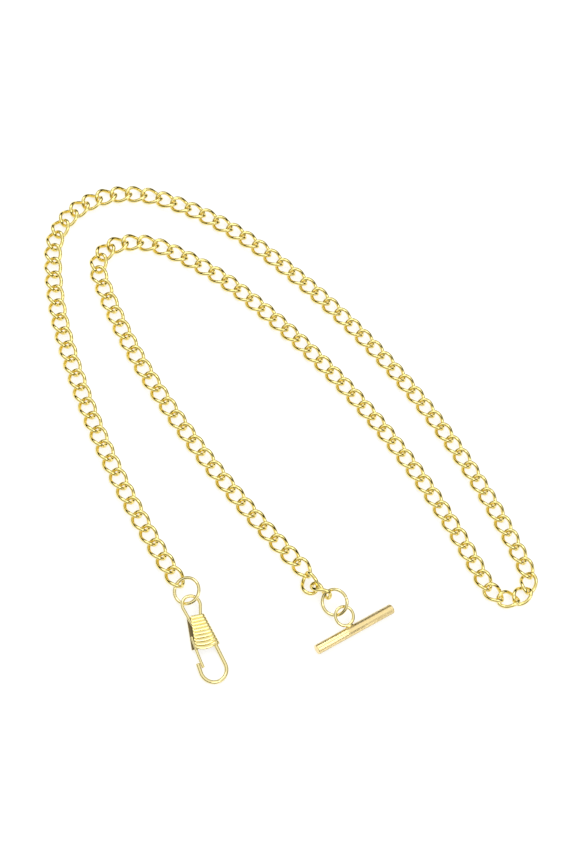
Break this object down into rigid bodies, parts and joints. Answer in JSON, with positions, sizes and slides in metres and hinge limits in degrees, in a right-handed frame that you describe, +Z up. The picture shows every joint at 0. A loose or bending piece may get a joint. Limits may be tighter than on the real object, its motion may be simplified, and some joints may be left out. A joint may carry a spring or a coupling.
{
  "type": "pocket watch chain",
  "caption": "Curb-link pocket watch chain laid in a double loop, with a spring-gate clasp at one end and a toggle bar at the other.",
  "frame": {"origin": "under the middle of the outline, on the table that the chain lies on", "axes": "+Z up from the table, X along the laid chain's long way, Y across it, with the clasp at the -Y side"},
  "size_m": [0.1918, 0.1302, 0.0062],
  "materials": {
    "gold_plate": "polished yellow gold plate",
    "toggle_gold": "polished rose-gold plate"
  },
  "bodies": {
    "link_001": {"link_001": "gold_plate"},
    "link_002": {"link_002": "gold_plate"},
    "link_003": {"link_003": "gold_plate"},
    "links_004_006": {"links_004_006": "gold_plate"},
    "links_007_009": {"links_007_009": "gold_plate"},
    "links_010_012": {"links_010_012": "gold_plate"},
    "links_013_015": {"links_013_015": "gold_plate"},
    "links_016_018": {"links_016_018": "gold_plate"},
    "links_019_021": {"links_019_021": "gold_plate"},
    "links_022_024": {"links_022_024": "gold_plate"},
    "links_025_027": {"links_025_027": "gold_plate"},
    "links_028_030": {"links_028_030": "gold_plate"},
    "links_031_033": {"links_031_033": "gold_plate"},
    "links_034_036": {"links_034_036": "gold_plate"},
    "links_037_039": {"links_037_039": "gold_plate"},
    "links_040_042": {"links_040_042": "gold_plate"},
    "links_043_045": {"links_043_045": "gold_plate"},
    "links_046_048": {"links_046_048": "gold_plate"},
    "links_049_051": {"links_049_051": "gold_plate"},
    "links_052_054": {"links_052_054": "gold_plate"},
    "links_055_057": {"links_055_057": "gold_plate"},
    "links_058_060": {"links_058_060": "gold_plate"},
    "links_061_063": {"links_061_063": "gold_plate"},
    "links_064_066": {"links_064_066": "gold_plate"},
    "right_bend": {"links_067_068": "gold_plate", "links_069_070": "gold_plate", "links_071_072": "gold_plate", "links_073_074": "gold_plate"},
    "links_075_077": {"links_075_077": "gold_plate"},
    "links_078_080": {"links_078_080": "gold_plate"},
    "links_081_083": {"links_081_083": "gold_plate"},
    "links_084_086": {"links_084_086": "gold_plate"},
    "links_087_089": {"links_087_089": "gold_plate"},
    "links_090_092": {"links_090_092": "gold_plate"},
    "links_093_095": {"links_093_095": "gold_plate"},
    "links_096_098": {"links_096_098": "gold_plate"},
    "links_099_101": {"links_099_101": "gold_plate"},
    "links_102_104": {"links_102_104": "gold_plate"},
    "left_bend": {"links_105_106": "gold_plate", "links_107_108": "gold_plate", "links_109_110": "gold_plate"},
    "links_111_113": {"links_111_113": "gold_plate"},
    "links_114_116": {"links_114_116": "gold_plate"},
    "links_117_119": {"links_117_119": "gold_plate"},
    "links_120_122": {"links_120_122": "gold_plate"},
    "links_123_125": {"links_123_125": "gold_plate"},
    "links_126_128": {"links_126_128": "gold_plate"},
    "links_129_131": {"links_129_131": "gold_plate"},
    "link_132": {"link_132": "gold_plate"},
    "link_133": {"link_133": "gold_plate"},
    "link_134": {"link_134": "gold_plate"},
    "jump_ring_clasp": {"jump_ring_clasp": "gold_plate"},
    "clasp": {"clasp_eye": "gold_plate", "clasp_hook": "gold_plate", "clasp_sleeve": "gold_plate"},
    "gate": {"clasp_gate": "gold_plate"},
    "jump_ring_bar": {"jump_ring_bar": "gold_plate"},
    "toggle": {"toggle_bar": "toggle_gold", "toggle_ring": "gold_plate", "toggle_braze": "gold_plate"}
  },
  "joints": [
    {"name": "lift_066", "type": "hinge", "parent": "right_bend", "child": "links_064_066", "pos_m": [0.08271, 0.03045, 0.00161], "axis": [0.4882, 0.8727, 0], "range_deg": [-25, 25]},
    {"name": "lift_063", "type": "hinge", "parent": "links_064_066", "child": "links_061_063", "pos_m": [0.06941, 0.03738, 0.00161], "axis": [-0.4348, -0.9005, 0], "range_deg": [-25, 25]},
    {"name": "lift_060", "type": "hinge", "parent": "links_061_063", "child": "links_058_060", "pos_m": [0.05572, 0.04349, 0.00161], "axis": [0.3799, 0.925, 0], "range_deg": [-25, 25]},
    {"name": "lift_057", "type": "hinge", "parent": "links_058_060", "child": "links_055_057", "pos_m": [0.04168, 0.04876, 0.00161], "axis": [-0.3235, -0.9462, 0], "range_deg": [-25, 25]},
    {"name": "lift_054", "type": "hinge", "parent": "links_055_057", "child": "links_052_054", "pos_m": [0.02735, 0.05319, 0.00161], "axis": [0.266, 0.964, 0], "range_deg": [-25, 25]},
    {"name": "lift_051", "type": "hinge", "parent": "links_052_054", "child": "links_049_051", "pos_m": [0.01278, 0.05674, 0.00161], "axis": [-0.2075, -0.9782, 0], "range_deg": [-25, 25]},
    {"name": "lift_048", "type": "hinge", "parent": "links_049_051", "child": "links_046_048", "pos_m": [-0.00198, 0.05941, 0.00161], "axis": [0.1482, 0.989, 0], "range_deg": [-25, 25]},
    {"name": "lift_045", "type": "hinge", "parent": "links_046_048", "child": "links_043_045", "pos_m": [-0.01687, 0.06118, 0.00161], "axis": [-0.0885, -0.9961, 0], "range_deg": [-25, 25]},
    {"name": "lift_042", "type": "hinge", "parent": "links_043_045", "child": "links_040_042", "pos_m": [-0.03184, 0.06206, 0.00161], "axis": [0.0284, 0.9996, 0], "range_deg": [-25, 25]},
    {"name": "lift_039", "type": "hinge", "parent": "links_040_042", "child": "links_037_039", "pos_m": [-0.04682, 0.06183, 0.00161], "axis": [0.0802, -0.9968, 0], "range_deg": [-25, 25]},
    {"name": "lift_036", "type": "hinge", "parent": "links_037_039", "child": "links_034_036", "pos_m": [-0.06161, 0.05946, 0.00161], "axis": [-0.2351, 0.972, 0], "range_deg": [-25, 25]},
    {"name": "lift_033", "type": "hinge", "parent": "links_034_036", "child": "links_031_033", "pos_m": [-0.07579, 0.0547, 0.00161], "axis": [0.4281, -0.9037, 0], "range_deg": [-25, 25]},
    {"name": "lift_030", "type": "hinge", "parent": "links_031_033", "child": "links_028_030", "pos_m": [-0.0874, 0.04553, 0.00161], "axis": [-0.7891, 0.6143, 0], "range_deg": [-25, 25]},
    {"name": "lift_027", "type": "hinge", "parent": "links_028_030", "child": "links_025_027", "pos_m": [-0.09276, 0.03187, 0.00161], "axis": [0.9963, -0.0854, 0], "range_deg": [-25, 25]},
    {"name": "lift_024", "type": "hinge", "parent": "links_025_027", "child": "links_022_024", "pos_m": [-0.08942, 0.01765, 0.00161], "axis": [-0.8494, -0.5277, 0], "range_deg": [-25, 25]},
    {"name": "sway_021", "type": "hinge", "parent": "links_022_024", "child": "links_019_021", "pos_m": [-0.07985, 0.00617, 0.00161], "axis": [0, 0, 1], "range_deg": [-17.5, 7.5]},
    {"name": "lift_018", "type": "hinge", "parent": "links_019_021", "child": "links_016_018", "pos_m": [-0.0687, -0.00384, 0.00161], "axis": [0.6177, 0.7864, 0], "range_deg": [-25, 25]},
    {"name": "sway_015", "type": "hinge", "parent": "links_016_018", "child": "links_013_015", "pos_m": [-0.05657, -0.01266, 0.00161], "axis": [0, 0, -1], "range_deg": [-12.5, 17.5]},
    {"name": "lift_012", "type": "hinge", "parent": "links_013_015", "child": "links_010_012", "pos_m": [-0.04398, -0.02081, 0.00161], "axis": [-0.521, -0.8536, 0], "range_deg": [-25, 25]},
    {"name": "sway_009", "type": "hinge", "parent": "links_010_012", "child": "links_007_009", "pos_m": [-0.03098, -0.02828, 0.00161], "axis": [0, 0, 1], "range_deg": [-20, 20]},
    {"name": "lift_006", "type": "hinge", "parent": "links_007_009", "child": "links_004_006", "pos_m": [-0.01761, -0.03507, 0.00161], "axis": [0.4289, 0.9033, 0], "range_deg": [-25, 25]},
    {"name": "sway_003", "type": "hinge", "parent": "links_004_006", "child": "link_003", "pos_m": [-0.0039, -0.04115, 0.00161], "axis": [0, 0, -1], "range_deg": [-20, 20]},
    {"name": "lift_002", "type": "hinge", "parent": "link_003", "child": "link_002", "pos_m": [0.00074, -0.04301, 0.00161], "axis": [-0.3649, -0.9311, 0], "range_deg": [-25, 25]},
    {"name": "lift_001", "type": "hinge", "parent": "link_002", "child": "link_001", "pos_m": [0.00541, -0.04479, 0.00161], "axis": [0.3486, 0.9373, 0], "range_deg": [-25, 25]},
    {"name": "lift_075", "type": "hinge", "parent": "right_bend", "child": "links_075_077", "pos_m": [0.07443, 0.01805, 0.00161], "axis": [-0.4431, -0.8965, 0], "range_deg": [-25, 25]},
    {"name": "lift_078", "type": "hinge", "parent": "links_075_077", "child": "links_078_080", "pos_m": [0.0608, 0.02431, 0.00161], "axis": [0.3907, 0.9205, 0], "range_deg": [-25, 25]},
    {"name": "lift_081", "type": "hinge", "parent": "links_078_080", "child": "links_081_083", "pos_m": [0.04683, 0.02977, 0.00161], "axis": [-0.3371, -0.9415, 0], "range_deg": [-25, 25]},
    {"name": "lift_084", "type": "hinge", "parent": "links_081_083", "child": "links_084_086", "pos_m": [0.03257, 0.03442, 0.00161], "axis": [0.2823, 0.9593, 0], "range_deg": [-25, 25]},
    {"name": "lift_087", "type": "hinge", "parent": "links_084_086", "child": "links_087_089", "pos_m": [0.01807, 0.03823, 0.00161], "axis": [-0.2267, -0.974, 0], "range_deg": [-25, 25]},
    {"name": "lift_090", "type": "hinge", "parent": "links_087_089", "child": "links_090_092", "pos_m": [0.00337, 0.04121, 0.00161], "axis": [0.1702, 0.9854, 0], "range_deg": [-25, 25]},
    {"name": "lift_093", "type": "hinge", "parent": "links_090_092", "child": "links_093_095", "pos_m": [-0.01148, 0.04334, 0.00161], "axis": [-0.1132, -0.9936, 0], "range_deg": [-25, 25]},
    {"name": "lift_096", "type": "hinge", "parent": "links_093_095", "child": "links_096_098", "pos_m": [-0.02642, 0.0446, 0.00161], "axis": [0.0558, 0.9984, 0], "range_deg": [-25, 25]},
    {"name": "lift_099", "type": "hinge", "parent": "links_096_098", "child": "links_099_101", "pos_m": [-0.04141, 0.04479, 0.00161], "axis": [0.0541, -0.9985, 0], "range_deg": [-25, 25]},
    {"name": "lift_102", "type": "hinge", "parent": "links_099_101", "child": "links_102_104", "pos_m": [-0.05624, 0.04277, 0.00161], "axis": [-0.2147, 0.9767, 0], "range_deg": [-25, 25]},
    {"name": "lift_105", "type": "hinge", "parent": "links_102_104", "child": "left_bend", "pos_m": [-0.07003, 0.03741, 0.00161], "axis": [0.606, -0.7955, 0], "range_deg": [-25, 25]},
    {"name": "lift_111", "type": "hinge", "parent": "left_bend", "child": "links_111_113", "pos_m": [-0.06586, 0.01498, 0.00161], "axis": [-0.5232, -0.8522, 0], "range_deg": [-25, 25]},
    {"name": "lift_114", "type": "hinge", "parent": "links_111_113", "child": "links_114_116", "pos_m": [-0.05277, 0.00768, 0.00161], "axis": [0.4501, 0.893, 0], "range_deg": [-25, 25]},
    {"name": "lift_117", "type": "hinge", "parent": "links_114_116", "child": "links_117_119", "pos_m": [-0.03911, 0.0015, 0.00161], "axis": [-0.3738, -0.9275, 0], "range_deg": [-25, 25]},
    {"name": "sway_120", "type": "hinge", "parent": "links_117_119", "child": "links_120_122", "pos_m": [-0.02505, -0.00372, 0.00161], "axis": [0, 0, 1], "range_deg": [-10, 10]},
    {"name": "lift_123", "type": "hinge", "parent": "links_120_122", "child": "links_123_125", "pos_m": [-0.01076, -0.0083, 0.00161], "axis": [0.2836, 0.9589, 0], "range_deg": [-25, 25]},
    {"name": "sway_126", "type": "hinge", "parent": "links_123_125", "child": "links_126_128", "pos_m": [0.00371, -0.01223, 0.00161], "axis": [0, 0, -1], "range_deg": [-15, 15]},
    {"name": "lift_129", "type": "hinge", "parent": "links_126_128", "child": "links_129_131", "pos_m": [0.01835, -0.01551, 0.00161], "axis": [-0.1972, -0.9804, 0], "range_deg": [-25, 25]},
    {"name": "sway_132", "type": "hinge", "parent": "links_129_131", "child": "link_132", "pos_m": [0.03304, -0.01815, 0.00162], "axis": [0, 0, 1], "range_deg": [-20, 20]},
    {"name": "lift_133", "type": "hinge", "parent": "link_132", "child": "link_133", "pos_m": [0.03756, -0.01981, 0.00203], "axis": [0.5124, 0.8587, 0], "range_deg": [-20, 20]},
    {"name": "lift_134", "type": "hinge", "parent": "link_133", "child": "link_134", "pos_m": [0.04185, -0.02111, 0.00263], "axis": [-0.0161, -0.9999, 0], "range_deg": [-20, 25]},
    {"name": "clasp_ring_swing", "type": "hinge", "parent": "link_001", "child": "jump_ring_clasp", "pos_m": [0.01081, -0.04677, 0.00161], "axis": [-0.2188, -0.6044, 0.766], "range_deg": [-50, 40]},
    {"name": "bar_ring_swing", "type": "hinge", "parent": "link_134", "child": "jump_ring_bar", "pos_m": [0.04723, -0.02128, 0.00338], "axis": [0.1448, -0.3842, -0.9118], "range_deg": [-15, 8]},
    {"name": "clasp_swing", "type": "hinge", "parent": "jump_ring_clasp", "child": "clasp", "pos_m": [0.01465, -0.05041, 0.00148], "axis": [0.854, 0.2766, 0.4407], "range_deg": [-50, 4]},
    {"name": "gate_open", "type": "hinge", "parent": "clasp", "child": "gate", "pos_m": [0.02269, -0.05711, 0.00185], "axis": [0.0852, 0.0013, 0.9964], "range_deg": [0, 26], "stiffness_Nm_per_rad": 0.004, "springref_deg": -8.59},
    {"name": "toggle_swing", "type": "hinge", "parent": "jump_ring_bar", "child": "toggle", "pos_m": [0.05307, -0.02129, 0.0042], "axis": [-0.2402, 0.773, 0.5872], "range_deg": [-8, 50]}
  ]
}
